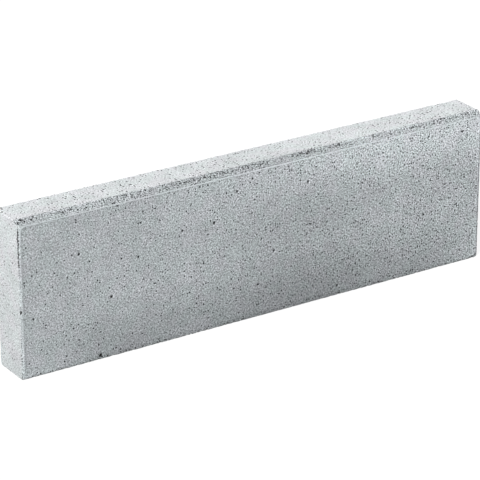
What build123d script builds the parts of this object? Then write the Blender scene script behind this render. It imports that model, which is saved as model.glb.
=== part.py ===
from build123d import *
import os

# Straight kerb stone, cast in one piece. It stands on its long narrow bed. X runs along the stone,
# the pressed front panel faces -Y, and Z is up. The origin is the middle of the bed.

# Size of the whole stone, in millimetres
LENGTH = 1000.0
THICKNESS = 80.0
HEIGHT = 300.0

# Chamfers round the front panel: how much of the front each takes, and how far back it runs
TOP_CHAMFER_HEIGHT = 8.0
TOP_CHAMFER_DEPTH = 14.0
END_CHAMFER_WIDTH = 4.0
END_CHAMFER_DEPTH = 1.5
FOOT_CHAMFER_HEIGHT = 4.0
FOOT_CHAMFER_DEPTH = 1.5

# Front panel: its rounded corners, the raised rim along its edge, and the field inside the rim
PANEL_CORNER_RADIUS = 12.0
RIM_WIDTH = 2.5
RIM_SLOPE_WIDTH = 2.0
FIELD_RECESS = 0.4

# Edges away from the front panel
BACK_FOOT_RADIUS = 8.0
ARRIS_RADIUS = 1.5

# How far the prisms that cut the chamfers reach past the front and the back
CUTTER_OVERRUN = 2.0


def plain_block():
    """Block with the section's back corners rounded and the ends' edges behind the front blunted."""
    section = Plane.YZ * Pos(0, HEIGHT / 2) * Rectangle(THICKNESS, HEIGHT)
    back_foot = section.vertices().group_by(Axis.Y)[-1].sort_by(Axis.Z)[0]
    section = fillet(back_foot, BACK_FOOT_RADIUS)
    back_top = section.vertices().group_by(Axis.Z)[-1].sort_by(Axis.Y)[-1]
    section = fillet(back_top, ARRIS_RADIUS)
    block = extrude(section, LENGTH / 2, both=True)
    ends = block.faces().group_by(Axis.X)
    end_edges = ends[0].edges() + ends[-1].edges()
    on_front = end_edges.group_by(Axis.Y)[0]
    return fillet([edge for edge in end_edges if edge not in on_front], ARRIS_RADIUS)


def upright_outline(depth, from_ends, from_top, from_foot, radius):
    """Rounded rectangle at a depth behind the front, set in from the stone's ends, top and foot."""
    width = LENGTH - 2 * from_ends
    height = HEIGHT - from_top - from_foot
    plane = Plane.XZ.offset(THICKNESS / 2 - depth)
    return plane * Pos(0, from_foot + height / 2) * RectangleRounded(width, height, radius)


def inset_at(depth, face_run, cut_depth):
    """Where a chamfer stands at a depth: its run on the front there, and past the edge further back."""
    return face_run * (1 - depth / cut_depth)


def corner_prism(end_side, height_side):
    """Slanting prism whose two near sides, and the rounding between them, are the chamfers at a corner."""
    face_run, cut_depth = TOP_CHAMFER_HEIGHT, TOP_CHAMFER_DEPTH
    if height_side < 0:
        face_run, cut_depth = FOOT_CHAMFER_HEIGHT, FOOT_CHAMFER_DEPTH
    near_x = LENGTH / 2 - inset_at(-CUTTER_OVERRUN, END_CHAMFER_WIDTH, END_CHAMFER_DEPTH)
    near_z = HEIGHT / 2 - inset_at(-CUTTER_OVERRUN, face_run, cut_depth)

    # The far sides lie well outside the stone, so only the near ones cut it
    far = 2 * LENGTH
    middle = Pos(end_side * (near_x - far) / 2, height_side * (near_z - far) / 2)
    outline = middle * Rectangle(near_x + far, near_z + far)
    near_corner = outline.vertices().sort_by_distance((end_side * near_x, height_side * near_z, 0))[0]
    outline = fillet(near_corner, PANEL_CORNER_RADIUS)
    outline = Plane.XZ.offset(THICKNESS / 2 + CUTTER_OVERRUN) * Pos(0, HEIGHT / 2) * outline
    slant = Vector(end_side * END_CHAMFER_WIDTH / END_CHAMFER_DEPTH, 1, height_side * face_run / cut_depth)
    return Solid.extrude(outline.face(), slant * (THICKNESS + 2 * CUTTER_OVERRUN))


def field_outline(depth, inside_rim):
    """Outline of the pressed field, set in by the same distance all round from the panel's edge."""
    return upright_outline(
        depth,
        END_CHAMFER_WIDTH + inside_rim,
        TOP_CHAMFER_HEIGHT + inside_rim,
        FOOT_CHAMFER_HEIGHT + inside_rim,
        PANEL_CORNER_RADIUS - inside_rim,
    )


def pressed_field():
    """Shallow tray that the press plate leaves inside the rim, with a sloping edge."""
    mouth = field_outline(0, RIM_WIDTH)
    floor = field_outline(FIELD_RECESS, RIM_WIDTH + RIM_SLOPE_WIDTH)
    return loft([mouth, floor], ruled=True)


def kerb_stone():
    stone = plain_block()
    for end_side in (-1, 1):
        for height_side in (-1, 1):
            stone &= corner_prism(end_side, height_side)
    return stone - pressed_field()


os.makedirs("parts", exist_ok=True)
export_step(kerb_stone(), "parts/kerb_stone.step")
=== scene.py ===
import bmesh
import bpy
import math
from mathutils import Matrix, Vector


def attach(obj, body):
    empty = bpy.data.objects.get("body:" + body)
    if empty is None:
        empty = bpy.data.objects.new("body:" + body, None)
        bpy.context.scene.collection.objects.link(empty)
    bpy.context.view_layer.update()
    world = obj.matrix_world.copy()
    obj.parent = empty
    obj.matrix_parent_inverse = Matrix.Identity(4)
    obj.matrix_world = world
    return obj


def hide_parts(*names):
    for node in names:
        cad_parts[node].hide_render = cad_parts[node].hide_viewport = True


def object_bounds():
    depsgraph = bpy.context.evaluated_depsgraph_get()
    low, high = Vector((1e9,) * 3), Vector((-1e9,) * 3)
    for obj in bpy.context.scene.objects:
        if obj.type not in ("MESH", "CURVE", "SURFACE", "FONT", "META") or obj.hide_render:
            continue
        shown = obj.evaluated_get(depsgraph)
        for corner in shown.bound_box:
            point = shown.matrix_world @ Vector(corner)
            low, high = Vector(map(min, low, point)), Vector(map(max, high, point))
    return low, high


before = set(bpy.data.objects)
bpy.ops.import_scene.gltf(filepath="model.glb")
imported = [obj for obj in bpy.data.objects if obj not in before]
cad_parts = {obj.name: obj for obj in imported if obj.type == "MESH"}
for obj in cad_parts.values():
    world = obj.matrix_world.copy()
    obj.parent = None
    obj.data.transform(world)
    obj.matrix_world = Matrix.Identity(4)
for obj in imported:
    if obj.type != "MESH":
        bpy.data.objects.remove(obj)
cad_low, cad_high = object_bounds()

STONE = "kerb_stone"
MM = 0.001

# Sizes of the stone's front panel, in millimetres, as the solid has them
TOP_CHAMFER_HEIGHT = 8.0
TOP_CHAMFER_DEPTH = 14.0
END_CHAMFER_WIDTH = 4.0
FOOT_CHAMFER_HEIGHT = 4.0
PANEL_CORNER_RADIUS = 12.0
RIM_WIDTH = 2.5

# Faces of the stone, in millimetres from the row's origin
HALF_LENGTH = cad_high.x / MM
FRONT = cad_low.y / MM
BACK = cad_high.y / MM
TOP = cad_high.z / MM

# Mesh: the even grid that the relief is cut into, and the triangles left where the relief needs them
GRID_SIZE = 1.4 * MM
MOST_TRIANGLES = 190000

# How far the relief keeps inside the solid everywhere, in millimetres
CLEARANCE = 0.02

# Radius of the smallest pits, and how much larger the rare largest ones are, in millimetres
LEAST_PIT_RADIUS = 0.9
PIT_RADIUS_SPREAD = 2.4

# Middle of the line of missing paste on the left end's chamfer, in from the end, in millimetres
ARRIS_LINE_INSET = 1.3

# The two chips that stand out most, in millimetres: one on the left front arris, one at the front foot
ARRIS_CHIP = Vector((-498.0, -39.0, 130.0))
ARRIS_CHIP_RADIUS = 3.5
FOOT_CHIP = Vector((-340.0, -40.0, 8.0))
FOOT_CHIP_RADIUS = 4.0

# Camera: fitted to the stone's outline in the photograph, for a frame of 480 by 480
CAMERA_AZIMUTH = -32.99
CAMERA_ELEVATION = 23.18
CAMERA_DISTANCE = 4.966
CAMERA_LENS = 205.8
CAMERA_AIM = Vector((-0.0463, -0.040, 0.1629))

# Light: how bright each source makes a white surface that faces it, where 1 is full white
KEY_LEVEL = 1.03
KEY_TOWARDS = Vector((-0.72, -0.42, 0.55))
BACK_FILL_LEVEL = 0.30
BACK_FILL_TOWARDS = Vector((0.60, 0.62, 0.50))
LAMP_WIDTH = math.radians(22.0)
SKY_LEVEL = 0.28

# Concrete at a tone of 1: the faces that lay against the mould, and the bluer ones that were pressed
MOULDED_GREY = (0.644, 0.668, 0.680, 1.0)
PRESSED_GREY = (0.628, 0.668, 0.689, 1.0)
CHAMFER_TONE = 0.83

# Faint patches of colour in the grey: the greener and the redder ones
GREENER = (0.980, 1.004, 0.992, 1.0)
REDDER = (1.016, 0.996, 1.008, 1.0)

# Slow changes of tone: how much darker or lighter each part of a face is than the rest
FRONT_TONE = 0.98
FOOT_DARKNESS = 0.27
FOOT_LINE_DARKNESS = 0.15
# Painted light: how much lighter the downward-facing foot chamfer is made, to offset the shade it lies in
PAINTED_LIGHT_ON_FOOT_CHAMFER = 0.27
MIDDLE_DARKNESS_AT_BED = 0.15
MIDDLE_DARKNESS_AT_TOP = 0.10
# Painted light: how much lighter the front is made just below the top rim, more so towards the right
PAINTED_LIGHT_BELOW_RIM = 0.42
MOTTLING = 0.32
END_TONE_AT_BED = 0.93
END_TONE_AT_TOP = 1.07
# Painted light: how much lighter the top face is made, as the light from above would make it
TOP_TONE_WITH_PAINTED_LIGHT = 1.11
# Painted shade: the tone that pits, chips and the broken arris line are darkened to, for the shade inside
# them
PAINTED_SHADE_IN_HOLLOWS = 0.07

# Floor: its half width in metres, its tone, and how far the camera alone sees it lifted towards white
FLOOR_HALF_WIDTH = 40.0
FLOOR_TONE = 0.30
FLOOR_LIFT = 0.80


# Small tools for writing node trees

class Tree:
    """Adds nodes to a tree. An input is a number, a vector, a colour or another node's output."""

    def __init__(self, tree):
        self.tree = tree

    def add(self, kind, inputs=None, **settings):
        node = self.tree.nodes.new(kind)
        for name, value in settings.items():
            setattr(node, name, value)
        for key, value in (inputs or {}).items():
            self.feed(node.inputs[key], value)
        return node

    def feed(self, socket, value):
        if isinstance(value, bpy.types.NodeSocket):
            self.tree.links.new(value, socket)
        else:
            socket.default_value = value

    def math(self, operation, *values):
        return self.add("ShaderNodeMath", dict(enumerate(values)), operation=operation).outputs[0]

    def plus(self, first, *others):
        for other in others:
            first = self.math("ADD", first, other)
        return first

    def times(self, first, *others):
        for other in others:
            first = self.math("MULTIPLY", first, other)
        return first

    def least(self, first, *others):
        for other in others:
            first = self.math("MINIMUM", first, other)
        return first

    def most(self, first, *others):
        for other in others:
            first = self.math("MAXIMUM", first, other)
        return first

    def minus(self, first, second):
        return self.math("SUBTRACT", first, second)

    def over(self, first, second):
        return self.math("DIVIDE", first, second)

    def scaled(self, vector, factor):
        return self.add("ShaderNodeVectorMath", {0: vector, "Scale": factor}, operation="SCALE").outputs[0]

    def between(self, first, second):
        """Distance between two positions."""
        return self.add("ShaderNodeVectorMath", {0: first, 1: second}, operation="DISTANCE").outputs["Value"]

    def split(self, vector):
        return self.add("ShaderNodeSeparateXYZ", {0: vector}).outputs

    def rise(self, value, start, end):
        """Smooth step from 0 at start to 1 at end."""
        inputs = {"Value": value, "From Min": start, "From Max": end}
        return self.add("ShaderNodeMapRange", inputs, interpolation_type="SMOOTHSTEP").outputs["Result"]

    def fall(self, value, start, end):
        """Smooth step from 1 at start to 0 at end."""
        return self.minus(1.0, self.rise(value, start, end))

    def mix(self, factor, low, high):
        return self.add("ShaderNodeMix", {0: factor, 2: low, 3: high}, data_type="FLOAT").outputs[0]

    def mix_colour(self, factor, low, high):
        return self.add("ShaderNodeMix", {0: factor, 6: low, 7: high}, data_type="RGBA").outputs[2]

    def noise(self, position, size, detail=2.0):
        """Noise from -0.5 to 0.5 whose lumps are about size millimetres across."""
        inputs = {"Vector": position, "Scale": self.over(1.0, size), "Detail": detail}
        return self.minus(self.add("ShaderNodeTexNoise", inputs).outputs[0], 0.5)

    def flat_noise(self, spot, size):
        """Flat noise from -0.5 to 0.5 with hardly any lumps larger than its size."""
        inputs = {"Vector": spot, "Scale": self.over(1.0, size), "Detail": 0.0}
        return self.minus(self.add("ShaderNodeTexNoise", inputs, noise_dimensions="2D").outputs[0], 0.5)

    def join(self, x, y):
        return self.add("ShaderNodeCombineXYZ", {0: x, 1: y}).outputs[0]

    def cells(self, spot, size, disorder=1.0):
        """Flat cells about size millimetres across: distance to the middle, and two random values each."""
        inputs = {"Vector": spot, "Scale": self.over(1.0, size), "Randomness": disorder}
        made = self.add("ShaderNodeTexVoronoi", inputs, voronoi_dimensions="2D").outputs
        lots = self.split(made["Color"])
        return made["Distance"], lots[0], lots[1]


# Where a point lies on the stone, for the relief and the concrete alike

def inside_panel(tree, x, z):
    """Distance in from the front panel's rounded outline, in millimetres."""
    foot, head = FOOT_CHAMFER_HEIGHT, TOP - TOP_CHAMFER_HEIGHT
    past_x = tree.minus(tree.math("ABSOLUTE", x), HALF_LENGTH - END_CHAMFER_WIDTH - PANEL_CORNER_RADIUS)
    past_z = tree.math("ABSOLUTE", tree.minus(z, (foot + head) / 2))
    past_z = tree.minus(past_z, (head - foot) / 2 - PANEL_CORNER_RADIUS)
    round_x = tree.most(past_x, 0.0)
    round_z = tree.most(past_z, 0.0)
    outside = tree.math("SQRT", tree.plus(tree.times(round_x, round_x), tree.times(round_z, round_z)))
    within = tree.least(tree.most(past_x, past_z), 0.0)
    return tree.minus(PANEL_CORNER_RADIUS, tree.plus(outside, within))


def places_on_stone(tree, position):
    """Masks and distances for the parts of the surface, from a position in millimetres."""
    x, y, z = tree.split(position)
    behind_front = tree.minus(y, FRONT)
    before_back = tree.minus(BACK, y)
    below_top = tree.minus(TOP, z)
    from_end = tree.minus(HALF_LENGTH, tree.math("ABSOLUTE", x))
    across = tree.plus(tree.over(behind_front, TOP_CHAMFER_DEPTH), tree.over(below_top, TOP_CHAMFER_HEIGHT))

    near_y = tree.least(behind_front, before_back)
    near_z = tree.least(below_top, z)
    farthest = tree.most(near_y, near_z, from_end)
    nearest = tree.least(near_y, near_z, from_end)
    arris = tree.minus(tree.plus(near_y, near_z, from_end), tree.plus(farthest, nearest))
    past_rim = tree.fall(tree.minus(below_top, tree.times(behind_front, 1.7)), 7.9, 8.5)
    chamfer = tree.times(tree.fall(across, 1.02, 1.30), past_rim)
    front = tree.times(tree.fall(behind_front, 1.0, 3.0), tree.minus(1.0, chamfer))
    return {
        "x": x,
        "z": z,
        "up_chamfer": tree.over(behind_front, TOP_CHAMFER_DEPTH),
        "behind_front": behind_front,
        "below_top": below_top,
        "from_end": from_end,
        "arris": tree.most(arris, 0.0),
        "inside_panel": inside_panel(tree, x, z),
        "chamfer": chamfer,
        "front": front,
        "back": tree.fall(before_back, 0.5, 2.5),
        "end": tree.fall(from_end, 0.5, 2.5),
    }


def pit_clusters(tree, in_mm, places):
    """Patches on the upper half of the chamfer where the pits lie thick."""
    patches = tree.rise(tree.noise(in_mm, 45.0, 1.0), -0.10, 0.10)
    return tree.times(patches, tree.rise(places["up_chamfer"], 0.3, 0.6))


def broken_arris(tree, in_mm, places):
    """Where paste is missing, in a broken line just inside the left front arris, least at mid-height."""
    z = places["z"]
    beside = tree.math("ABSOLUTE", tree.minus(places["from_end"], ARRIS_LINE_INSET))
    near = tree.times(tree.fall(beside, 1.6, 2.2), tree.fall(places["behind_front"], 3.0, 4.0))
    near = tree.times(near, tree.fall(places["x"], -20.0, 20.0))
    high = tree.times(tree.rise(z, 175.0, 230.0), 0.20)
    low = tree.times(tree.fall(z, 55.0, 75.0), 0.08)
    filled = tree.plus(tree.minus(0.06, tree.plus(high, low)), tree.times(beside, 0.12))
    return tree.times(near, tree.rise(tree.minus(tree.noise(in_mm, 2.5, 1.0), filled), -0.02, 0.04))


# The cast surface: an even mesh on the solid's own faces, with the relief cut into it

def hollow_out(tree, in_mm, away, radius):
    """Ragged hollow: 1 in its middle and 0 past its radius."""
    ragged = tree.plus(1.0, tree.noise(in_mm, 2.5, 1.0))
    return tree.fall(tree.over(tree.times(away, ragged), radius), 0.35, 1.15)


def sink_pits(tree, stone, position, in_mm, density, seed):
    """How deep the nearest pit goes at each point, as a share of its radius, and that radius."""
    points = tree.add(
        "GeometryNodeDistributePointsOnFaces",
        {"Mesh": stone, "Density": density, "Seed": seed},
        distribute_method="RANDOM",
    ).outputs["Points"]
    lot = tree.add("FunctionNodeRandomValue", {2: 0.0, 3: 1.0, "Seed": seed}, data_type="FLOAT").outputs[1]
    size = tree.plus(LEAST_PIT_RADIUS, tree.times(lot, lot, lot, lot, PIT_RADIUS_SPREAD))
    points = tree.add(
        "GeometryNodeStoreNamedAttribute",
        {"Geometry": points, "Name": "pit_radius", "Value": size},
        data_type="FLOAT",
        domain="POINT",
    ).outputs[0]
    nearest = tree.add("GeometryNodeSampleNearest", {"Geometry": points}, domain="POINT").outputs[0]
    name = {"Name": "pit_radius"}
    stored = tree.add("GeometryNodeInputNamedAttribute", name, data_type="FLOAT").outputs[0]

    def of_nearest(kind, value):
        inputs = {"Geometry": points, "Value": value, "Index": nearest}
        return tree.add("GeometryNodeSampleIndex", inputs, data_type=kind, domain="POINT").outputs[0]

    radius = of_nearest("FLOAT", stored)
    away = tree.over(tree.between(of_nearest("FLOAT_VECTOR", position), position), MM)
    return hollow_out(tree, in_mm, away, radius), radius


def relief_tree(concrete):
    """Geometry nodes that roughen the stone's surface and sink pits into it."""
    group = bpy.data.node_groups.new("cast_relief", "GeometryNodeTree")
    group.interface.new_socket("Stone", in_out="INPUT", socket_type="NodeSocketGeometry")
    sizes = {
        "Wave Height": 0.30,
        "Dimple Depth": 0.22,
        "Chamfer Roughness": 0.9,
        "Arris Wear": 0.9,
        "Foot Chips": 2.0,
        "Pit Depth": 0.9,
        "Pits per Area": 400.0,
        "Chamfer Pits per Area": 20000.0,
        "Arris Line Depth": 1.2,
    }
    for name, value in sizes.items():
        socket = group.interface.new_socket(name, in_out="INPUT", socket_type="NodeSocketFloat")
        socket.default_value = value
    seed = group.interface.new_socket("Seed", in_out="INPUT", socket_type="NodeSocketInt")
    seed.default_value = 7
    group.interface.new_socket("Stone", in_out="OUTPUT", socket_type="NodeSocketGeometry")

    tree = Tree(group)
    given = tree.add("NodeGroupInput").outputs
    position = tree.add("GeometryNodeInputPosition").outputs[0]
    in_mm = tree.scaled(position, 1 / MM)
    places = places_on_stone(tree, in_mm)

    # Long gentle waves, shallow dimples, and a rough chamfer
    wave = tree.times(tree.minus(tree.noise(in_mm, 90.0, 1.0), 0.3), given["Wave Height"])
    dimple = tree.times(tree.minus(tree.noise(in_mm, 9.0, 1.0), 0.2), given["Dimple Depth"])
    rough = tree.times(tree.minus(tree.noise(in_mm, 3.5, 3.0), 0.2), given["Chamfer Roughness"])
    height = tree.plus(wave, tree.mix(places["chamfer"], dimple, rough))

    # Arrises lose a ragged strip
    crumble = tree.rise(tree.noise(in_mm, 7.0, 3.0), -0.12, 0.22)
    worn = tree.times(tree.fall(places["arris"], 0.0, 4.0), crumble, given["Arris Wear"])
    at_foot = tree.times(tree.fall(places["z"], 1.0, 6.0), tree.fall(places["behind_front"], 3.0, 6.0))
    chipped = tree.times(tree.rise(tree.noise(in_mm, 4.0, 2.0), 0.0, 0.2), given["Foot Chips"])
    worn = tree.plus(worn, tree.times(at_foot, chipped))
    height = tree.minus(height, worn)

    # Pits lie thick in clusters on the chamfer's upper half
    crowded = tree.times(places["chamfer"], pit_clusters(tree, in_mm, places))
    density = tree.plus(given["Pits per Area"], tree.times(crowded, given["Chamfer Pits per Area"]))
    pit, radius = sink_pits(tree, given["Stone"], position, in_mm, density, given["Seed"])
    height = tree.minus(height, tree.times(pit, radius, given["Pit Depth"]))
    for middle, chip_radius in ((ARRIS_CHIP, ARRIS_CHIP_RADIUS), (FOOT_CHIP, FOOT_CHIP_RADIUS)):
        chip = hollow_out(tree, in_mm, tree.between(in_mm, middle), chip_radius)
        height = tree.minus(height, tree.times(chip, chip_radius, given["Pit Depth"]))
        pit = tree.most(pit, chip)

    missing = broken_arris(tree, in_mm, places)
    height = tree.minus(height, tree.times(missing, given["Arris Line Depth"]))

    normal = tree.add("GeometryNodeInputNormal").outputs[0]
    offset = tree.scaled(normal, tree.times(tree.least(height, -CLEARANCE), MM))
    marked = tree.add(
        "GeometryNodeStoreNamedAttribute",
        {"Geometry": given["Stone"], "Name": "pit", "Value": pit},
        data_type="FLOAT",
        domain="POINT",
    ).outputs[0]
    moved = tree.add("GeometryNodeSetPosition", {"Geometry": marked, "Offset": offset}).outputs[0]
    smooth = tree.add("GeometryNodeSetShadeSmooth", {"Geometry": moved}).outputs[0]
    real = tree.add("GeometryNodeRealizeInstances", {"Geometry": smooth}).outputs[0]
    named = tree.add("GeometryNodeSetMaterial", {"Geometry": real, "Material": concrete}).outputs[0]
    tree.add("NodeGroupOutput", {"Stone": named})
    return group


def mesh_of(obj):
    """The object's mesh with its modifiers carried out."""
    ready = obj.evaluated_get(bpy.context.evaluated_depsgraph_get())
    return bpy.data.meshes.new_from_object(ready)


def link(name, mesh):
    obj = bpy.data.objects.new(name, mesh)
    bpy.context.scene.collection.objects.link(obj)
    return obj


def triangle_count(mesh):
    return sum(len(face.vertices) - 2 for face in mesh.polygons)


def cast_stone(concrete):
    """Stone with real relief: an even mesh pulled onto the solid, cut by the relief, then thinned."""
    merged = bmesh.new()
    merged.from_mesh(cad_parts[STONE].data)
    bmesh.ops.remove_doubles(merged, verts=merged.verts, dist=0.001 * MM)
    solid_mesh = bpy.data.meshes.new("stone_solid")
    merged.to_mesh(solid_mesh)
    merged.free()
    solid = link("stone_solid", solid_mesh)

    work = link("stone_work", solid_mesh.copy())
    even = work.modifiers.new("even_grid", "REMESH")
    even.mode = "VOXEL"
    even.voxel_size = GRID_SIZE
    snap = work.modifiers.new("onto_solid", "SHRINKWRAP")
    snap.target = solid
    snap.wrap_method = "NEAREST_SURFACEPOINT"
    relief = work.modifiers.new("cast_relief", "NODES")
    relief.node_group = relief_tree(concrete)
    fine = link("stone_fine", mesh_of(work))

    thin = fine.modifiers.new("thin", "DECIMATE")
    thin.ratio = min(1.0, MOST_TRIANGLES / triangle_count(fine.data))
    stone = link("kerb_stone_cast", mesh_of(fine))
    for helper in (solid, work, fine):
        bpy.data.objects.remove(helper)
    return stone


# Concrete

def open_pores(tree, spot, spacing, share, size):
    """Ragged pores: a mask, their lips, which are lightened as painted highlight, and the radius of the
    nearest one, in millimetres.
    """
    from_middle, chance, width = tree.cells(spot, spacing)
    away = tree.times(from_middle, spacing, tree.plus(1.0, tree.noise(spot, 1.5, 1.0)))
    radius = tree.times(tree.plus(0.5, tree.times(width, width, 0.5)), size)
    is_open = tree.math("LESS_THAN", chance, share)
    away = tree.over(away, radius)
    lip_highlight = tree.times(tree.rise(away, 1.0, 1.5), tree.fall(away, 1.6, 2.4))
    return tree.times(is_open, tree.fall(away, 0.8, 1.05)), tree.times(is_open, lip_highlight), radius


def sand_and_cement():
    """Shader group: sand grains in cement, with open pores painted dark for the shade inside them and lips
    painted lighter as highlight. Gives a tone around 1 and a height in mm.
    """
    group = bpy.data.node_groups.new("sand_and_cement", "ShaderNodeTree")
    group.interface.new_socket("Spot", in_out="INPUT", socket_type="NodeSocketVector")
    sizes = {
        "Cement Grain": 2.8,
        "Cement Contrast": 2.2,
        "Sand Grain": 3.0,
        "Sand Contrast": 1.0,
        "Grain Height": 0.2,
        "Pore Spacing": 5.0,
        "Pore Share": 0.3,
        "Pore Size": 1.5,
        # Pore Tone: how dark the pores are painted, standing in for the shade inside them
        "Pore Tone": 0.0,
    }
    for name, value in sizes.items():
        socket = group.interface.new_socket(name, in_out="INPUT", socket_type="NodeSocketFloat")
        socket.default_value = value
    for name in ("Tone", "Height"):
        group.interface.new_socket(name, in_out="OUTPUT", socket_type="NodeSocketFloat")

    tree = Tree(group)
    given = tree.add("NodeGroupInput").outputs
    spot = given["Spot"]
    turned = tree.add("ShaderNodeVectorRotate", {0: spot, "Angle": 0.64}, rotation_type="Z_AXIS").outputs[0]
    cement = tree.times(tree.flat_noise(turned, given["Cement Grain"]), given["Cement Contrast"])
    from_sand, dark, _ = tree.cells(spot, given["Sand Grain"], 0.9)
    sand = tree.times(tree.fall(from_sand, 0.10, 0.48), dark)
    tone = tree.times(tree.plus(1.0, cement), tree.minus(1.0, tree.times(sand, given["Sand Contrast"])))
    tone = tree.times(tone, tree.plus(1.0, tree.times(tree.noise(spot, 1.1, 1.0), 0.6)))
    height = tree.times(tree.minus(cement, tree.times(sand, 0.8)), given["Grain Height"])

    spacing, share, size = given["Pore Spacing"], given["Pore Share"], given["Pore Size"]
    pore, lip_highlight, radius = open_pores(tree, spot, spacing, share, size)
    # Painted shade and highlight: pores are darkened to Pore Tone for the shade inside them, and their lips
    # lightened as if catching light
    tone = tree.mix(pore, tree.times(tone, tree.plus(1.0, tree.times(lip_highlight, 0.2))), given["Pore Tone"])
    height = tree.minus(height, tree.times(pore, radius))
    tree.add("NodeGroupOutput", {"Tone": tone, "Height": height})
    return group


def front_drift(tree, places):
    """Slow changes of tone on the front: a dark foot and middle, a foot chamfer lifted lighter as painted
    light, and painted light in a glow below the top rim, strongest at the upper right.
    """
    x, z = places["x"], places["z"]
    foot = tree.fall(tree.math("ABSOLUTE", tree.minus(x, 20.0)), 330.0, 500.0)
    low = tree.times(tree.fall(z, 10.0, 130.0), FOOT_DARKNESS)
    low = tree.plus(low, tree.times(tree.fall(z, 6.0, 13.0), FOOT_LINE_DARKNESS))
    # Painted light: the downward-facing foot chamfer is made lighter to offset the shade it lies in
    low = tree.minus(low, tree.times(tree.fall(z, 3.5, 6.5), PAINTED_LIGHT_ON_FOOT_CHAMFER))
    foot = tree.times(foot, low)
    middle = tree.fall(tree.math("ABSOLUTE", tree.minus(x, 90.0)), 20.0, 230.0)
    middle = tree.times(middle, tree.mix(tree.over(z, TOP), MIDDLE_DARKNESS_AT_BED, MIDDLE_DARKNESS_AT_TOP))
    below_rim = tree.minus(places["below_top"], TOP_CHAMFER_HEIGHT)
    # Painted light: the front is lightened just below the top rim, more towards the right, as if light falls
    # there
    glow = tree.times(tree.fall(below_rim, 0.0, 110.0), tree.rise(x, -300.0, 280.0), PAINTED_LIGHT_BELOW_RIM)
    return tree.plus(tree.minus(FRONT_TONE, tree.plus(foot, middle)), glow)


def rim_paste_and_highlight(tree, places):
    """Where the panel's rim is made lighter: partly smooth cement paste, partly painted highlight where the
    rim faces up to the light, so all of it along the top and little of it lower down.
    """
    z, inside = places["z"], places["inside_panel"]
    on_rim = tree.times(tree.rise(inside, -0.6, 0.2), tree.fall(inside, RIM_WIDTH - 0.2, RIM_WIDTH + 0.6))
    share = tree.times(tree.mix(tree.rise(z, 255.0, 288.0), 0.3, 0.9), tree.rise(z, 15.0, 40.0))
    return tree.times(on_rim, share, places["front"])


def clean_corner(tree, places):
    """Where the edge of the panel came out smooth and light, round its lower left corner."""
    from_corner = tree.plus(places["x"], HALF_LENGTH, places["z"])
    on_edge = tree.fall(places["behind_front"], 1.4, 1.9)
    on_edge = tree.times(on_edge, tree.fall(places["inside_panel"], 0.5, 2.5))
    return tree.times(tree.fall(from_corner, 50.0, 90.0), on_edge)


def tone_drift(tree, in_mm, places):
    """Slow changes of tone over the whole stone."""
    x, z = places["x"], places["z"]
    mottled = tree.plus(1.0, tree.times(tree.noise(in_mm, 36.0, 2.0), MOTTLING))
    front = tree.mix(places["front"], 1.0, front_drift(tree, places))
    end = tree.mix(tree.over(z, TOP), END_TONE_AT_BED, END_TONE_AT_TOP)
    end = tree.mix(places["end"], 1.0, end)
    centre = tree.fall(tree.math("ABSOLUTE", tree.plus(x, 20.0)), 20.0, 180.0)
    on_top = tree.times(tree.fall(places["below_top"], 0.5, 2.5), tree.minus(1.0, places["front"]))
    # Painted light: the top is lightened as if by the light from above, a little less at its centre
    top = tree.mix(on_top, 1.0, tree.minus(TOP_TONE_WITH_PAINTED_LIGHT, tree.times(centre, 0.06)))
    left_of_middle = tree.fall(tree.math("ABSOLUTE", tree.plus(x, 60.0)), 100.0, 260.0)
    chamfer = tree.minus(1.0, tree.times(left_of_middle, 0.10))
    chamfer = tree.plus(chamfer, tree.times(tree.rise(x, 80.0, 260.0), 0.08))
    chamfer = tree.mix(places["chamfer"], 1.0, chamfer)
    corner = tree.plus(1.0, tree.times(clean_corner(tree, places), 0.15))
    return tree.times(mottled, front, end, top, chamfer, corner)


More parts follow.
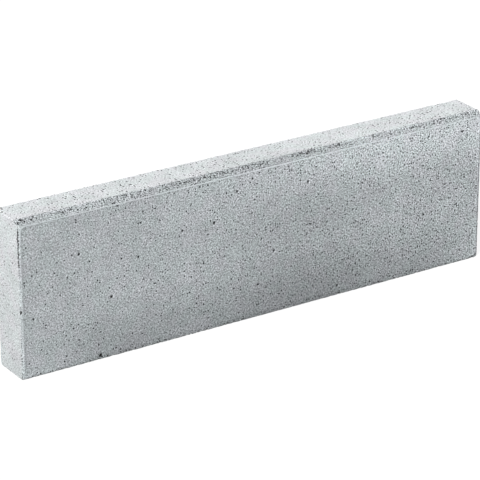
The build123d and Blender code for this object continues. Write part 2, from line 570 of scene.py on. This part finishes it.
def concrete_material():
    """Pressed concrete: each kind of face has its own grain, and the tone drifts over the stone."""
    material = bpy.data.materials.new("pressed_concrete")
    material.use_nodes = True
    material.node_tree.nodes.clear()
    tree = Tree(material.node_tree)
    position = tree.add("ShaderNodeTexCoord").outputs["Object"]
    in_mm = tree.scaled(position, 1 / MM)
    places = places_on_stone(tree, in_mm)
    grains = sand_and_cement()

    def finish(across, up, **values):
        node = tree.add("ShaderNodeGroup", {"Spot": tree.join(across, up)}, node_tree=grains)
        for name, value in values.items():
            tree.feed(node.inputs[name.replace("_", " ")], value)
        return node.outputs["Tone"], node.outputs["Height"]

    x, y, z = tree.split(in_mm)
    clusters = pit_clusters(tree, in_mm, places)
    rightwards = tree.rise(x, -500.0, 500.0)
    at_foot = tree.times(tree.fall(z, 4.0, 10.0), 0.4)
    pressed = finish(
        x, z, Cement_Contrast=tree.mix(rightwards, 1.2, 1.6), Sand_Contrast=0.75, Sand_Grain=2.6,
        Pore_Share=tree.plus(tree.mix(rightwards, 0.08, 0.42), at_foot), Pore_Size=1.7,
    )
    top_skin = finish(
        x, y, Cement_Contrast=0.75, Sand_Contrast=0.3, Grain_Height=0.1,
        Pore_Spacing=6.0, Pore_Share=0.36, Pore_Size=2.1,
    )
    end_skin = finish(
        y, z, Cement_Contrast=0.9, Sand_Contrast=0.4, Grain_Height=0.1,
        Pore_Spacing=6.0, Pore_Share=0.2, Pore_Size=1.6, Pore_Tone=0.1,
    )
    rough = finish(
        x, tree.plus(y, tree.times(z, 0.5)),
        Cement_Contrast=2.0, Sand_Contrast=0.9, Sand_Grain=2.6, Grain_Height=0.4,
        Pore_Spacing=4.2, Pore_Share=tree.mix(clusters, 0.2, 0.75), Pore_Size=1.8,
    )

    def blend(mask, low, high):
        return tree.mix(mask, low[0], high[0]), tree.mix(mask, low[1], high[1])

    on_pressed = tree.most(places["front"], places["back"])
    surface = blend(places["end"], top_skin, end_skin)
    surface = blend(on_pressed, surface, pressed)
    rough = tree.times(rough[0], CHAMFER_TONE), rough[1]
    # Lighter rim: partly the smooth paste's own tone, partly painted highlight where the rim catches light
    # from above, strongest at the left
    paste = tree.mix(tree.rise(places["x"], 0.0, 300.0), 1.30, 1.05), 0.0
    surface = blend(rim_paste_and_highlight(tree, places), surface, paste)
    tone, height = blend(places["chamfer"], surface, rough)
    tone = tree.times(tone, tone_drift(tree, in_mm, places))

    # Painted shade: pits, the two chips and the broken arris line are darkened nearly to black, standing in
    # for the shade inside these hollows
    pit = tree.add("ShaderNodeAttribute", attribute_name="pit").outputs["Fac"]
    hollow = tree.most(tree.rise(pit, 0.15, 0.6), broken_arris(tree, in_mm, places))
    tone = tree.times(tone, tree.mix(hollow, 1.0, PAINTED_SHADE_IN_HOLLOWS))
    grey = tree.mix_colour(tree.most(on_pressed, places["chamfer"]), MOULDED_GREY, PRESSED_GREY)
    tint = tree.mix_colour(tree.rise(tree.noise(in_mm, 30.0, 1.0), -0.15, 0.15), GREENER, REDDER)
    grey = tree.add("ShaderNodeVectorMath", {0: grey, 1: tint}, operation="MULTIPLY").outputs[0]
    colour = tree.scaled(grey, tone)
    bump = tree.add("ShaderNodeBump", {"Height": height, "Distance": MM}).outputs[0]
    shader = tree.add("ShaderNodeBsdfPrincipled", {"Base Color": colour, "Roughness": 0.9, "Normal": bump})
    tree.add("ShaderNodeOutputMaterial", {"Surface": shader.outputs[0]})
    return material


# Studio

def floor_material():
    """Pale floor: it keeps the stone's shadow, and only the camera sees it lifted to white."""
    material = bpy.data.materials.new("pale_floor")
    material.use_nodes = True
    material.node_tree.nodes.clear()
    tree = Tree(material.node_tree)
    path = tree.add("ShaderNodeLightPath").outputs
    seen = tree.most(path["Is Camera Ray"], path["Is Glossy Ray"], path["Is Transmission Ray"])
    matt = tree.add("ShaderNodeBsdfDiffuse", {"Color": (FLOOR_TONE,) * 3 + (1.0,)})
    glow = tree.add("ShaderNodeEmission", {"Color": (1.0,) * 4, "Strength": tree.times(seen, FLOOR_LIFT)})
    both = tree.add("ShaderNodeAddShader", {0: matt.outputs[0], 1: glow.outputs[0]})
    tree.add("ShaderNodeOutputMaterial", {"Surface": both.outputs[0]})
    return material


def pale_floor():
    half = FLOOR_HALF_WIDTH
    corners = [(-half, -half, 0), (half, -half, 0), (half, half, 0), (-half, half, 0)]
    mesh = bpy.data.meshes.new("floor")
    mesh.from_pydata(corners, [], [(0, 1, 2, 3)])
    mesh.materials.append(floor_material())
    link("floor", mesh)


def sky():
    """Even white light from all round, which the camera and reflections see as full white."""
    world = bpy.data.worlds.new("studio")
    bpy.context.scene.world = world
    world.use_nodes = True
    world.node_tree.nodes.clear()
    tree = Tree(world.node_tree)
    path = tree.add("ShaderNodeLightPath").outputs
    seen = tree.most(path["Is Camera Ray"], path["Is Glossy Ray"], path["Is Transmission Ray"])
    inputs = {"Color": (1.0,) * 4, "Strength": tree.mix(seen, SKY_LEVEL, 1.0)}
    light = tree.add("ShaderNodeBackground", inputs)
    tree.add("ShaderNodeOutputWorld", {"Surface": light.outputs[0]})


def soft_lamp(name, level, towards):
    """Wide far lamp that lights the stone to a level, from a direction."""
    light = bpy.data.lights.new(name, "SUN")
    light.angle = LAMP_WIDTH
    light.energy = level * math.pi
    lamp = bpy.data.objects.new(name, light)
    bpy.context.scene.collection.objects.link(lamp)
    lamp.location = towards
    lamp.rotation_euler = towards.to_track_quat("Z", "Y").to_euler()


def photo_camera():
    """Camera at the photograph's viewing angle."""
    turn, rise = math.radians(CAMERA_AZIMUTH), math.radians(CAMERA_ELEVATION)
    back = Vector((math.sin(turn) * math.cos(rise), -math.cos(turn) * math.cos(rise), math.sin(rise)))
    right = Vector((math.cos(turn), math.sin(turn), 0.0))
    above = back.cross(right)
    data = bpy.data.cameras.new("camera")
    data.sensor_width = 36.0
    data.lens = CAMERA_LENS
    camera = bpy.data.objects.new("camera", data)
    bpy.context.scene.collection.objects.link(camera)
    place = CAMERA_AIM + back * CAMERA_DISTANCE
    camera.matrix_world = Matrix.Translation(place) @ Matrix((right, above, back)).transposed().to_4x4()
    bpy.context.scene.camera = camera


photo_camera()
sky()
soft_lamp("key_lamp", KEY_LEVEL, KEY_TOWARDS)
soft_lamp("back_fill_lamp", BACK_FILL_LEVEL, BACK_FILL_TOWARDS)
pale_floor()
bpy.context.scene.view_settings.view_transform = "Standard"

stone = cast_stone(concrete_material())
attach(stone, "root")
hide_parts(STONE)
